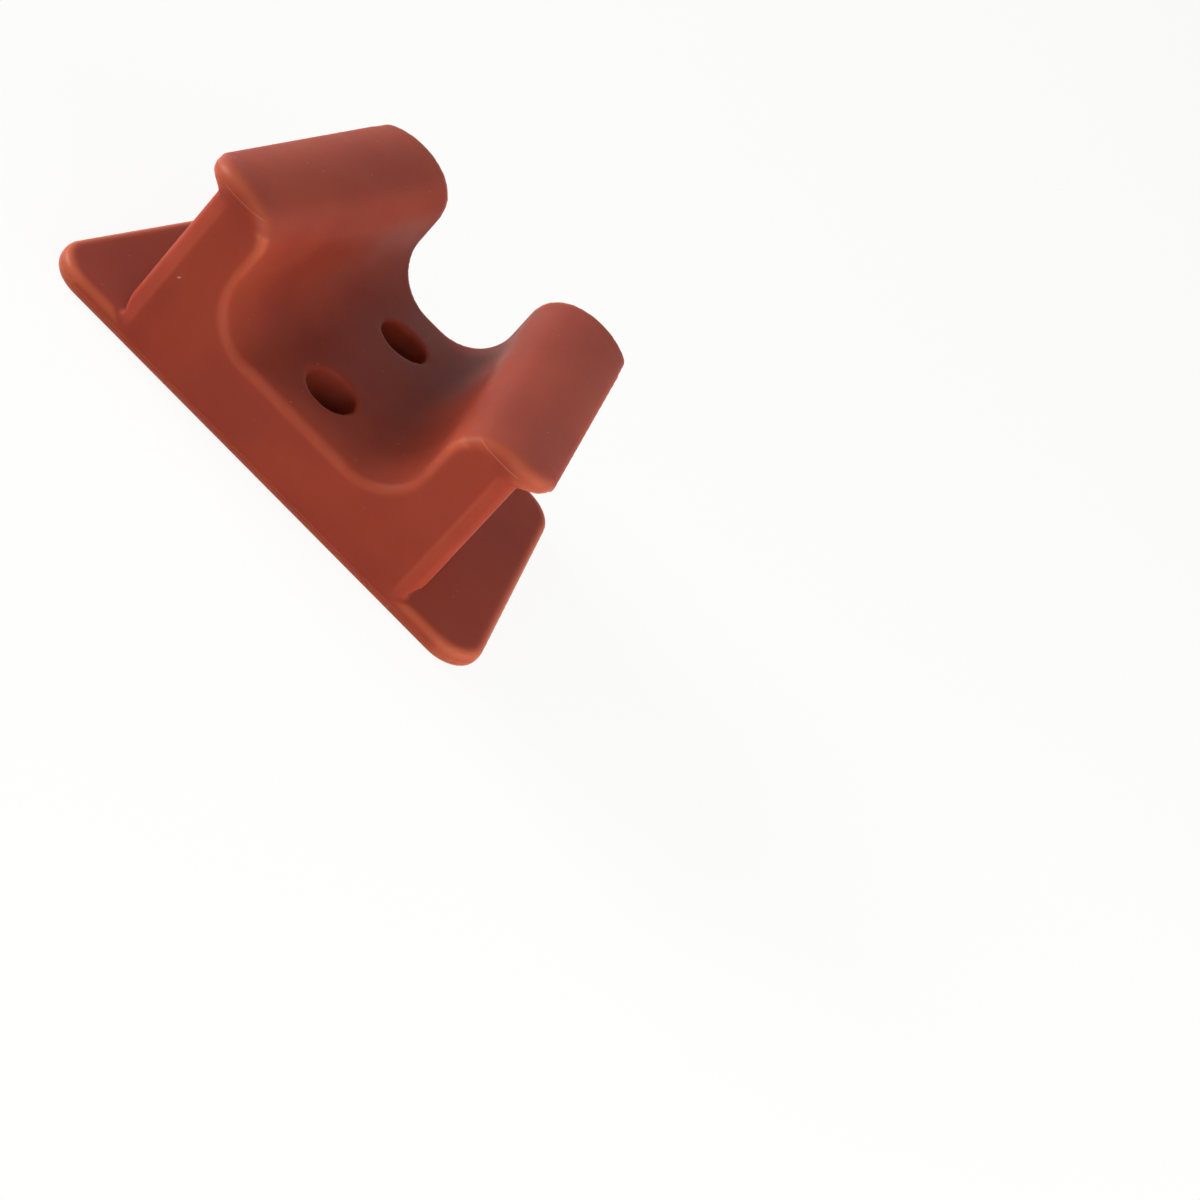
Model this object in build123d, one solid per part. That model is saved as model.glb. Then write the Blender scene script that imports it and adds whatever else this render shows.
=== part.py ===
"""A silicone mouth prop: a wedge that holds the jaws open, moulded in one piece.

X runs across the bite, Y from the wide end to the narrow end, Z up from the guard
plate to the lips. The origin lies under the middle of the plate. Millimetres.
"""

import os
from math import asin, pi, sqrt, tan

from build123d import *

# Guard plate, a thin tapered flange that stays outside the teeth
plate_wide = 46.0  # width at the wide end, to the sharp corners
plate_narrow = 34.9  # width at the narrow end, to the sharp corners
depth = 26.0  # wide end to narrow end
plate_thickness = 1.8
plate_corner_radius = 3.2
rim_radius_under = 0.8  # rounding of the rim on the outer face
rim_radius_over = 0.6  # rounding of the rim on the inner face

# Wedge between the plate and the lips
block_wide = 30.0  # bite opening at the wide end, valley to valley
block_narrow = 20.3  # bite opening at the narrow end, valley to valley
block_edge_chamfer = 0.7  # upright edges of the two end faces

# Ridges across the bite faces, with the steep flank towards the wide end
ridge_count = 7
ridge_height = 1.0
ridge_ramp_share = 0.66  # of the pitch, from crest to valley
ridge_crest_radius = 0.35
ridge_runout = 1.6  # height over which the ridges fade out above the plate

# Lips on top of the two arms, which keep the teeth on the bite faces
lip_overhang = 3.3
lip_edge_height = 0.75  # outer edge of a lip at the narrow end
lip_front_radius = 3.2  # plan corners at the wide end
lip_under_chamfer = 0.2

# Saddle between the arms
arm_thickness = 5.0
floor_wide = 6.6  # level of the floor at the wide end
floor_narrow = 6.3  # level of the floor at the narrow end
floor_rise = 0.95  # of the arched floor, from its ends to the middle
floor_corner_radius = 4.5  # where the floor has room
crest_wide = 17.5  # highest line of an arm at the wide end
crest_fall = 0.3  # of that line towards the narrow end
crest_inset = 4.75  # from the inner wall of an arm to its highest line
crown_radius = 6.8
arm_shoulder_radius = 3.5  # between the inner wall and the crown, where the wall has room
rim_radius_wide = 0.85  # rim of saddle, arms and lips from the wide end on, where a lip has room
rim_radius_narrow = 0.4  # rim at the narrow end

# Two blind holes in the saddle floor, on the centre line
hole_diameter = 4.4
hole_bottom = 2.8  # level above the plate's outer face
hole_pitch = 13.3
hole_centre_y = -0.7  # middle of the pair

# Marks on the outer face of the plate
ejector_diameter = 2.6
ejector_depth = 0.12
ejector_pitch = 21.8
ejector_y = -1.8
gate_diameter = 1.8
gate_depth = 0.3
gate_from_wide_end = 3.5

# Room for the cuts and roundings
overlap = 0.5  # how far one solid or cutter runs into or past another
room_share = 0.95  # of the room for a rounding, the most that one takes
shoulder_per_wall = 1.4  # largest shoulder rounding that the inner wall of an arm has room for

half_depth = depth / 2
saddle_end = half_depth + overlap
arm_crest = crest_inset - arm_thickness  # across an arm, from the valleys of its ridges
arm_top = crest_wide + overlap


def tapered(wide, narrow, y):
    """Size at a place along the depth that changes evenly from the wide to the narrow end."""
    return wide + (narrow - wide) * (y + half_depth) / depth


def side_x(y):
    """Half width of the wedge at the valleys of its ridges."""
    return tapered(block_wide, block_narrow, y) / 2


def crown_z(x, y):
    """Height of an arm at a place across it, from the valleys of its ridges."""
    crest = tapered(crest_wide, crest_wide - crest_fall, y)
    return crest - crown_radius + sqrt(crown_radius**2 - (x - arm_crest) ** 2)


def floor_z(y):
    """Height of the arched saddle floor."""
    return tapered(floor_wide, floor_narrow, y) + floor_rise * (1 - (y / half_depth) ** 2)


lip_level = crown_z(lip_overhang, half_depth) - lip_edge_height


def tapered_outline(wide, narrow):
    """Isosceles trapezium over the whole depth, with its wide end towards -Y."""
    corners = [
        (-wide / 2, -half_depth),
        (wide / 2, -half_depth),
        (narrow / 2, half_depth),
        (-narrow / 2, half_depth),
    ]
    return make_face(Polyline(*corners, close=True))


def corners_at(outline, y):
    return outline.vertices().filter_by(lambda corner: abs(corner.Y - y) < overlap / 10)


def guard_plate():
    outline = tapered_outline(plate_wide, plate_narrow)
    outline = fillet(outline.vertices(), plate_corner_radius)
    plate = extrude(outline, plate_thickness)
    plate = fillet(plate.faces().sort_by(Axis.Z)[0].edges(), rim_radius_under)
    return fillet(plate.faces().sort_by(Axis.Z)[-1].edges(), rim_radius_over)


def ridge_points():
    """Valleys and crests of the right bite face, from the wide end to the narrow end."""
    pitch = depth / ridge_count
    points = [(side_x(-half_depth), -half_depth)]
    for i in range(ridge_count):
        valley_y = -half_depth + (i + 1) * pitch
        crest_y = valley_y - ridge_ramp_share * pitch
        points.append((side_x(crest_y) + ridge_height, crest_y))
        points.append((side_x(valley_y), valley_y))
    return points


def ridge_runout_cutter():
    """Takes the feet off the ridges, so that they fade out above the plate."""
    reach = ridge_height + overlap
    rise = ridge_runout * reach / ridge_height
    feet = Polyline(
        (0, plate_thickness),
        (reach, plate_thickness),
        (reach, plate_thickness + rise),
        close=True,
    )
    start_y = -half_depth - overlap
    section = Pos(side_x(start_y), start_y, 0) * (Plane.XZ * make_face(feet))
    taper = Vector((block_narrow - block_wide) / 2 / depth, 1, 0)
    right = extrude(section, (depth + 2 * overlap) * taper.length, dir=taper)
    return right + mirror(right, about=Plane.YZ)


def ridged_wedge():
    right = ridge_points()
    left = [(-x, y) for x, y in reversed(right)]
    outline = make_face(Polyline(*right, *left, close=True))
    crests = [v for v in outline.vertices() if abs(v.X) > side_x(v.Y) + ridge_height / 2]
    outline = fillet(crests, ridge_crest_radius)
    ends = corners_at(outline, -half_depth) + corners_at(outline, half_depth)
    outline = chamfer(ends, block_edge_chamfer)
    base = plate_thickness - rim_radius_over
    wedge = extrude(Pos(0, 0, base) * outline, lip_level + overlap - base)
    return wedge - ridge_runout_cutter()


def lip_slab():
    """Block over both arms, from the underside of the lips to above the crown."""
    outline = tapered_outline(block_wide + 2 * lip_overhang, block_narrow + 2 * lip_overhang)
    outline = fillet(corners_at(outline, -half_depth), lip_front_radius)
    slab = extrude(Pos(0, 0, lip_level) * outline, arm_top - lip_level)
    under = slab.faces().sort_by(Axis.Z)[0].edges()
    return chamfer(under.sort_by(Axis.Y)[:-1], lip_under_chamfer)


def corner_rounding():
    """Between the saddle floor and the inner walls, where the floor has room at its narrow end."""
    return min(floor_corner_radius, room_share * (side_x(saddle_end) - arm_thickness))


def shoulder_rounding():
    """Between the inner walls and the crowns, where the walls have room at the narrow end."""
    wall_height = crown_z(-arm_thickness, saddle_end) - floor_z(0) - corner_rounding()
    return min(arm_shoulder_radius, wall_height * shoulder_per_wall)


def saddle_section(y):
    """Space above the saddle floor and the crowns of the arms, cut across at one place."""
    side = side_x(y)
    wall = side - arm_thickness
    tip = lip_overhang + overlap
    top = arm_top + overlap
    shoulder = (wall, crown_z(-arm_thickness, y))
    crest = (side + arm_crest, crown_z(arm_crest, y))
    crown_end = (side + tip, crown_z(tip, y))
    foot = (wall, floor_z(y))
    lines = Polyline(crown_end, (side + tip, top), (0, top), (0, floor_z(y)), foot, shoulder)
    half = make_face(lines + ThreePointArc(shoulder, crest, crown_end))
    half = fillet(half.vertices().sort_by_distance(shoulder)[0], shoulder_rounding())
    half = fillet(half.vertices().sort_by_distance(foot)[0], corner_rounding())
    return Pos(0, y, 0) * (Plane.XZ * (half + mirror(half, about=Plane.YZ)))


def saddle_cutter():
    """Everything above the arched floor and the crowns of the arms."""
    return loft([saddle_section(y) for y in (-saddle_end, 0, saddle_end)])


def disc(diameter, centre, bottom, top):
    """Upright cylinder between two levels."""
    outline = Pos(*centre, bottom) * Circle(diameter / 2)
    return extrude(outline, top - bottom, dir=(0, 0, 1))


def rim_room():
    """Largest rounding that the shoulders and the upright outer edges of the lips leave."""
    tip_slope = asin((lip_overhang - arm_crest) / crown_radius)
    at_lip = (lip_edge_height - lip_under_chamfer) / tan((pi / 2 - tip_slope) / 2)
    return room_share * min(at_lip, shoulder_rounding())


def mouth_prop():
    body = guard_plate() + ridged_wedge() + lip_slab() - saddle_cutter()
    wide_rim = body.edges().sort_by_distance((0, -half_depth, floor_wide))[0]
    body = fillet(wide_rim, min(rim_radius_wide, rim_room()))
    narrow_rim = body.edges().sort_by_distance((0, half_depth, floor_narrow))[0]
    body = fillet(narrow_rim, min(rim_radius_narrow, rim_room()))

    for side in (-1, 1):
        hole = (0, hole_centre_y + side * hole_pitch / 2)
        body -= disc(hole_diameter, hole, hole_bottom, arm_top)
        pin = (side * ejector_pitch / 2, ejector_y)
        body -= disc(ejector_diameter, pin, -overlap, ejector_depth)
    gate = (0, -half_depth + gate_from_wide_end)
    return body - disc(gate_diameter, gate, -overlap, gate_depth)


if __name__ == "__main__":
    os.makedirs("parts", exist_ok=True)
    export_step(mouth_prop(), "parts/mouth_prop.step")
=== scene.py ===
"""Looks of a silicone mouth prop: one soft brick-red moulding with its parting lines and dust,
and painted sheen and edge highlights.

Lengths are millimetres in the named values and metres in Blender.
"""

from math import hypot, radians

import bmesh
import bpy
from mathutils import Matrix, Vector


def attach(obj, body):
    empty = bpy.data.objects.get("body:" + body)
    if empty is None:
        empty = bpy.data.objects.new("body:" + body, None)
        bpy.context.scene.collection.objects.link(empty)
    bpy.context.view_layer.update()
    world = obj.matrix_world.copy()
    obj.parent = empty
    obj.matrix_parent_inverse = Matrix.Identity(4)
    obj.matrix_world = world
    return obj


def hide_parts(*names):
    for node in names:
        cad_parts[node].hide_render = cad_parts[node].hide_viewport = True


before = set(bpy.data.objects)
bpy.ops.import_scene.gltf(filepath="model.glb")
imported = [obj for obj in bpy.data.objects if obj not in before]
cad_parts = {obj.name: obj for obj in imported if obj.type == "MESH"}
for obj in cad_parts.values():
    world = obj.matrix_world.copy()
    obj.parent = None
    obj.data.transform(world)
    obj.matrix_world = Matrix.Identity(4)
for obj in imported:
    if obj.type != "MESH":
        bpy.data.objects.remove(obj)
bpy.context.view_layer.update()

MM = 0.001

# Places on the prop
wide_end = -13.0
narrow_end = 13.0
plate_top = 2.0  # just above the inner face of the guard plate
lip_bottom = 15.4
bite_face = 12.6  # valleys of the ridges, half way along
arm_taper = 0.1865  # of the arms towards the middle, for each millimetre from the wide end
hole_places = (-7.35, 5.95)
hole_rim = 3.0

# Moulding: the spacing of its even skin and how far its edges are softened
merge_distance = 0.0005
skin_step = 0.24
softening = 0.5
softening_rounds = 3
# Further rounds near the ends of the lips, from where they start
wide_lip_start = -9.5
wide_lip_rounds = 18
narrow_lip_start = 10.5
narrow_lip_rounds = 8

# Painted highlight and glow on outer edges: paler where points stand proud of a softer copy
edge_rounds = 14  # of softening of that copy
least_proud = 0.015
most_proud = 0.12
tint_fade = 3.5  # over the arms, towards the long sides of the lips

# Parting lines of the mould, on the rim of the plate and on the wide ends of the lips
plate_parting = 0.87
plate_parting_share = 0.4
lip_parting = 16.38
parting_half_width = 0.06
# The lip line runs between these limits, which follow the taper of the arms
lip_line_start = 8.9
lip_line_end = 13.2
lip_line_fade_in = 0.4
lip_line_fade_out = 0.6
lip_line_depth = 1.0  # from the wide end, where it fades over as much again

# Colours of the silicone, linear, and how much of the paler ones lies over the two reds. The
# edge orange is painted highlight and glow; the dust pink is real dust and also painted sheen
brick_red = (0.243, 0.0380, 0.0210)
warm_red = (0.270, 0.0435, 0.0220)
# painted highlight and glow on outer edges
painted_edge_glow_orange = (0.44, 0.120, 0.058)
parting_pink = (0.46, 0.12, 0.07)
# pale pink of real dust specks, also used for the painted sheen
dust_and_sheen_pink = (0.55, 0.33, 0.28)
painted_sheen_share = 0.025
painted_edge_glow_share = 0.65
parting_share = 0.6
dust_share = 0.7

# Painted sheen on the tops of the arms: a pale, blotchy haze on faces that point up, high on
# the arms
painted_sheen_bottom = 12.0
painted_sheen_top = 16.5
painted_sheen_least = 0.7
painted_sheen_swing = 0.6

# Specks of dust, in some of the cells of a size, and fewer on steep faces
speck_cell = 1.1
speck_radius = 0.06  # in cells
speck_share = 0.35
speck_pick_blur = 0.02
speck_on_steep = 0.25
speck_on_level = 0.5  # more than on steep faces

# A larger grain of dust on the wide end face, with half its width, depth and height
dust_grain = (-13.52, -13.0, 7.98)
dust_grain_size = (0.20, 0.3, 0.075)
dust_grain_turn = -47.6
dust_grain_core = 0.6  # share of the grain that covers fully

# How far up a face points, from steep to level
steep_facing = 0.2
level_facing = 0.8

# Sizes of the blotches, waves and grain of the surface
batch_blotch = 7.0
painted_sheen_blotch = 0.6
handling_blotch = 3.0
skin_wave = 4.0
skin_grain = 0.25
fine_detail = 3.0  # finer layers of noise
batch_low = 0.35  # noise below this is all of one red
batch_high = 0.65  # and above this all of the other

# Roughness and relief of the surface
least_roughness = 0.40
handling_roughness = 0.16
dust_roughness = 0.2
edge_polish = 0.16
grain_height = 0.012
wave_height = 0.05
parting_height = 0.05
relief_strength = 0.6

# Silicone as a shader sees it: gloss, and light that spreads under the surface
silicone_ior = 1.41
silicone_gloss = 0.075
glow_share = 0.8
glow_colours = (1.0, 0.22, 0.10)  # how far each colour spreads
glow_depth = 1.5

# Surroundings
floor_half_width = 2.0  # metres
floor_drop = 0.01
floor_white_share = 0.9
floor_white = (1.0, 1.0, 0.98)
floor_grey = (0.9, 0.9, 0.9)
room_light = 0.22

# View
view_azimuth = 2.23
view_elevation = 30.11
view_roll = 44.09
view_offset = (16.49, -19.52, 332.52)
view_target = (0.0, 0.0, 9.0)
view_lens = 129.13
view_sensor = 36.0
view_nearest = 10.0


class Field:
    """A value that varies over a surface. Arithmetic on it adds Math nodes to its finish."""

    def __init__(self, finish, socket):
        self.finish = finish
        self.socket = socket

    def __add__(self, other):
        return self.finish.maths("ADD", self, other)

    def __radd__(self, other):
        return self.finish.maths("ADD", other, self)

    def __sub__(self, other):
        return self.finish.maths("SUBTRACT", self, other)

    def __rsub__(self, other):
        return self.finish.maths("SUBTRACT", other, self)

    def __mul__(self, other):
        return self.finish.maths("MULTIPLY", self, other)

    def __rmul__(self, other):
        return self.finish.maths("MULTIPLY", other, self)

    def __abs__(self):
        return self.finish.maths("ABSOLUTE", self)

    def output(self, name):
        """Another output of the same node."""
        return Field(self.finish, self.socket.node.outputs[name])

    def ramp(self, low, high):
        """0 below low, 1 above high, and smooth between them."""
        steps = {"interpolation_type": "SMOOTHSTEP"}
        ends = {"Value": self, "From Min": low, "From Max": high}
        return self.finish.node("ShaderNodeMapRange", steps, ends)

    def near(self, level, half_width):
        """1 at a level, and 0 from half a width away."""
        return 1 - abs(self - level).ramp(half_width / 2, half_width)


class Finish:
    """The node tree of a material or of the world."""

    def __init__(self, owner):
        owner.use_nodes = True
        self.owner = owner
        self.tree = owner.node_tree
        self.tree.nodes.clear()

    def node(self, kind, settings=None, sockets=None, output=0):
        """Adds a node, first its settings and then the values or links of its sockets."""
        added = self.tree.nodes.new(kind)
        for name, value in (settings or {}).items():
            setattr(added, name, value)
        for name, value in (sockets or {}).items():
            socket = added.inputs[name]
            if isinstance(value, Field):
                self.tree.links.new(value.socket, socket)
            elif socket.type == "RGBA":
                socket.default_value = (*value, 1.0)
            else:
                socket.default_value = value
        return Field(self, added.outputs[output]) if len(added.outputs) else None

    def maths(self, operation, *values):
        return self.node("ShaderNodeMath", {"operation": operation}, dict(enumerate(values)))

    def mix(self, share, first, second):
        """Colour that goes from the first to the second as the share goes from 0 to 1."""
        colours = {"Factor": share, 6: first, 7: second}
        return self.node("ShaderNodeMix", {"data_type": "RGBA"}, colours, output=2)

    def place(self):
        """Millimetres in the part's own frame."""
        metres = self.node("ShaderNodeTexCoord", output="Object")
        scale = {0: metres, "Scale": 1 / MM}
        return self.node("ShaderNodeVectorMath", {"operation": "SCALE"}, scale)

    def parts(self, vector):
        """X, Y and Z of a vector."""
        x = self.node("ShaderNodeSeparateXYZ", {}, {0: vector})
        return x, x.output("Y"), x.output("Z")

    def mottle(self, place, size, detail=2.0):
        """Soft noise with blotches of about a size."""
        blotches = {"Vector": place, "Scale": 1 / size, "Detail": detail}
        return self.node("ShaderNodeTexNoise", {}, blotches)

    def specks(self, place, size, radius, share):
        """Round specks in a share of cells of about a size."""
        cells = {"Vector": place, "Scale": 1 / size}
        distance = self.node("ShaderNodeTexVoronoi", {}, cells, output="Distance")
        pick, _, _ = self.parts(distance.output("Color"))
        picked = pick.ramp(1 - share, 1 - share + speck_pick_blur)
        return (1 - distance.ramp(radius / 2, radius)) * picked

    def grain(self, place, centre, size, turn):
        """One long grain on the wide end face, turned in that face."""
        spread = {
            "Vector": place,
            "Location": centre,
            "Rotation": (0, radians(turn), 0),
            "Scale": size,
        }
        spread = self.node("ShaderNodeMapping", {"vector_type": "TEXTURE"}, spread)
        length = {"operation": "LENGTH"}
        radius = self.node("ShaderNodeVectorMath", length, {0: spread}, output="Value")
        return 1 - radius.ramp(dust_grain_core, 1.0)

    def seen(self):
        """1 for what the eye sees, also in gloss, and 0 for light that falls on the prop."""
        ray = self.node("ShaderNodeLightPath", output="Is Camera Ray")
        return ray + ray.output("Is Glossy Ray") + ray.output("Is Transmission Ray")


def moulded_silicone():
    finish = Finish(bpy.data.materials.new("moulded_silicone"))
    place = finish.place()
    x, y, z = finish.parts(place)
    _, _, facing_up = finish.parts(finish.node("ShaderNodeNewGeometry", output="Normal"))
    upward = facing_up.ramp(steep_facing, level_facing)
    edge = finish.node("ShaderNodeAttribute", {"attribute_name": "edge"}, output="Fac")
    edge = edge.ramp(least_proud, most_proud)

    across = abs(x) + y * arm_taper
    on_lips = across.ramp(lip_line_start, lip_line_start + lip_line_fade_in)
    on_lips = on_lips * (1 - across.ramp(lip_line_end - lip_line_fade_out, lip_line_end))
    on_lips = on_lips * (1 - y.ramp(wide_end + lip_line_depth, wide_end + 2 * lip_line_depth))
    lip_line = z.near(lip_parting, parting_half_width) * on_lips
    parting = z.near(plate_parting, parting_half_width) * plate_parting_share + lip_line

    # Painted sheen: paler on upward faces high on the arms
    painted_sheen = painted_sheen_least + finish.mottle(place, painted_sheen_blotch, fine_detail) * painted_sheen_swing
    painted_sheen = z.ramp(painted_sheen_bottom, painted_sheen_top) * upward * painted_sheen
    dust = finish.specks(place, speck_cell, speck_radius, speck_share)
    dust = dust * (speck_on_steep + upward * speck_on_level)
    dust = dust + finish.grain(place, dust_grain, dust_grain_size, dust_grain_turn)

    batch = finish.mottle(place, batch_blotch)
    colour = finish.mix(batch.ramp(batch_low, batch_high), brick_red, warm_red)
    # Painted sheen over the reds
    colour = finish.mix(painted_sheen * painted_sheen_share, colour, dust_and_sheen_pink)
    # Painted highlight and glow: paler orange on outer edges
    colour = finish.mix(edge * painted_edge_glow_share, colour, painted_edge_glow_orange)
    colour = finish.mix(parting * parting_share, colour, parting_pink)
    colour = finish.mix(dust * dust_share, colour, dust_and_sheen_pink)

    handling = finish.mottle(place, handling_blotch, fine_detail)
    roughness = least_roughness + handling * handling_roughness
    roughness = roughness + dust * dust_roughness - edge * edge_polish
    relief = finish.mottle(place, skin_grain, fine_detail) * grain_height
    relief = relief + finish.mottle(place, skin_wave) * wave_height + parting * parting_height
    bump = {"Strength": relief_strength, "Distance": MM, "Height": relief}
    shader = finish.node(
        "ShaderNodeBsdfPrincipled",
        {},
        {
            "Base Color": colour,
            "Roughness": roughness,
            "Normal": finish.node("ShaderNodeBump", {}, bump),
            "IOR": silicone_ior,
            "Specular IOR Level": silicone_gloss,
            "Subsurface Weight": glow_share,
            "Subsurface Radius": glow_colours,
            "Subsurface Scale": glow_depth * MM,
        },
    )
    finish.node("ShaderNodeOutputMaterial", {}, {"Surface": shader})
    return finish.owner


def pale_floor():
    """White to the eye, with the shadow of the prop kept."""
    finish = Finish(bpy.data.materials.new("pale_floor"))
    matt = finish.node("ShaderNodeBsdfDiffuse", {}, {"Color": floor_grey})
    white = finish.node("ShaderNodeEmission", {}, {"Color": floor_white, "Strength": 1.0})
    blend = {0: finish.seen() * floor_white_share, 1: matt, 2: white}
    blend = finish.node("ShaderNodeMixShader", {}, blend)
    finish.node("ShaderNodeOutputMaterial", {}, {"Surface": blend})
    return finish.owner


def studio_world():
    """White to the eye, and a weak even light on the prop."""
    finish = Finish(bpy.data.worlds.new("studio"))
    strength = room_light + finish.seen() * (1 - room_light)
    light = {"Color": (1.0, 1.0, 1.0), "Strength": strength}
    light = finish.node("ShaderNodeBackground", {}, light)
    finish.node("ShaderNodeOutputWorld", {}, {"Surface": light})
    return finish.owner


def add_object(name, data):
    added = bpy.data.objects.new(name, data)
    bpy.context.scene.collection.objects.link(added)
    return added


def soften(form, points, rounds):
    for _ in range(rounds):
        bmesh.ops.smooth_vert(
            form,
            verts=points,
            factor=softening,
            use_axis_x=True,
            use_axis_y=True,
            use_axis_z=True,
        )


def soften_lips(form, start, end, rounds):
    """Softens the lips between two places along them. The flat end faces stay as they are."""
    low = lip_bottom * MM
    points = [v for v in form.verts if v.co.z > low and start <= v.co.y / MM <= end]
    soften(form, points, rounds)


def painted_glow_reach(x, y, z):
    """How much painted highlight and glow an edge shows: none at the holes, ridges and long
    sides of the lips.
    """
    if any(hypot(x, y - hole_y) < hole_rim for hole_y in hole_places):
        return 0.0
    inward = bite_face - y * arm_taper - abs(x)
    if z < plate_top:
        return 1.0
    if z < lip_bottom:
        return float(inward > 0)
    if y < wide_lip_start:
        return 1.0
    return min(max(inward / tint_fade, 0.0), 1.0)


def mark_edges(form):
    """Keeps how far each point stands proud of a softer copy, which is most on outer edges, as
    the mask of the painted highlight and glow.
    """
    form.normal_update()
    softer = form.copy()
    soften(softer, softer.verts, edge_rounds)
    proud = form.verts.layers.float.new("edge")
    for point, sunk in zip(form.verts, softer.verts):
        height = (point.co - sunk.co).dot(point.normal) / MM
        point[proud] = height * painted_glow_reach(*(point.co / MM))
    softer.free()


def soft_moulding(node):
    """The whole prop with an even skin and softened edges, as moulded rubber has."""
    prop = add_object("silicone_prop", node.data.copy())
    form = bmesh.new()
    form.from_mesh(prop.data)
    bmesh.ops.remove_doubles(form, verts=form.verts, dist=merge_distance * MM)
    form.to_mesh(prop.data)

    skin = prop.modifiers.new("even_skin", "REMESH")
    skin.mode = "VOXEL"
    skin.voxel_size = skin_step * MM
    true_form = prop.modifiers.new("true_form", "SHRINKWRAP")
    true_form.target = node
    form.clear()
    form.from_object(prop, bpy.context.evaluated_depsgraph_get())
    prop.modifiers.clear()

    soften(form, form.verts, softening_rounds)
    soften_lips(form, wide_end, wide_lip_start, wide_lip_rounds)
    soften_lips(form, narrow_lip_start, narrow_end, narrow_lip_rounds)
    mark_edges(form)
    for face in form.faces:
        face.smooth = True
    form.to_mesh(prop.data)
    form.free()
    prop.data.materials.clear()
    prop.data.materials.append(moulded_silicone())
    return prop


def studio_floor():
    ground = bmesh.new()
    bmesh.ops.create_grid(ground, x_segments=1, y_segments=1, size=floor_half_width)
    bmesh.ops.translate(ground, verts=ground.verts, vec=(0, 0, -floor_drop * MM))
    sheet = bpy.data.meshes.new("floor")
    ground.to_mesh(sheet)
    ground.free()
    sheet.materials.append(pale_floor())
    return add_object("floor", sheet)


def softbox(name, direction, distance, size, power):
    """A square lamp that looks at the prop from a direction. Metres and watts."""
    lamp = bpy.data.lights.new(name, "AREA")
    lamp.size = size
    lamp.energy = power
    box = add_object(name, lamp)
    aim = Vector(direction).normalized()
    box.location = Vector(view_target) * MM + aim * distance
    box.rotation_euler = aim.to_track_quat("Z", "Y").to_euler()


def photo_camera():
    camera = bpy.data.cameras.new("camera")
    camera.lens = view_lens
    camera.sensor_width = view_sensor
    camera.sensor_fit = "HORIZONTAL"
    camera.clip_start = view_nearest * MM
    stand = add_object("camera", camera)
    turn = Matrix.Rotation(radians(view_azimuth), 4, "Z")
    tilt = Matrix.Rotation(radians(90 - view_elevation), 4, "X")
    roll = Matrix.Rotation(radians(view_roll), 4, "Z")
    target = Matrix.Translation(Vector(view_target) * MM)
    offset = Matrix.Translation(Vector(view_offset) * MM)
    stand.matrix_world = target @ turn @ tilt @ roll @ offset
    bpy.context.scene.camera = stand


prop = soft_moulding(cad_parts["mouth_prop"])
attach(prop, "root")
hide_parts("mouth_prop")

studio_floor()
bpy.context.scene.world = studio_world()
softbox("left_softbox", (-0.97, 0.0, 0.26), distance=0.5, size=0.30, power=3.9)
softbox("right_softbox", (0.95, -0.17, 0.26), distance=0.25, size=0.15, power=0.41)
softbox("front_softbox", (0.47, -0.81, 0.34), distance=0.25, size=0.15, power=0.34)
photo_camera()
bpy.context.scene.view_settings.view_transform = "Standard"
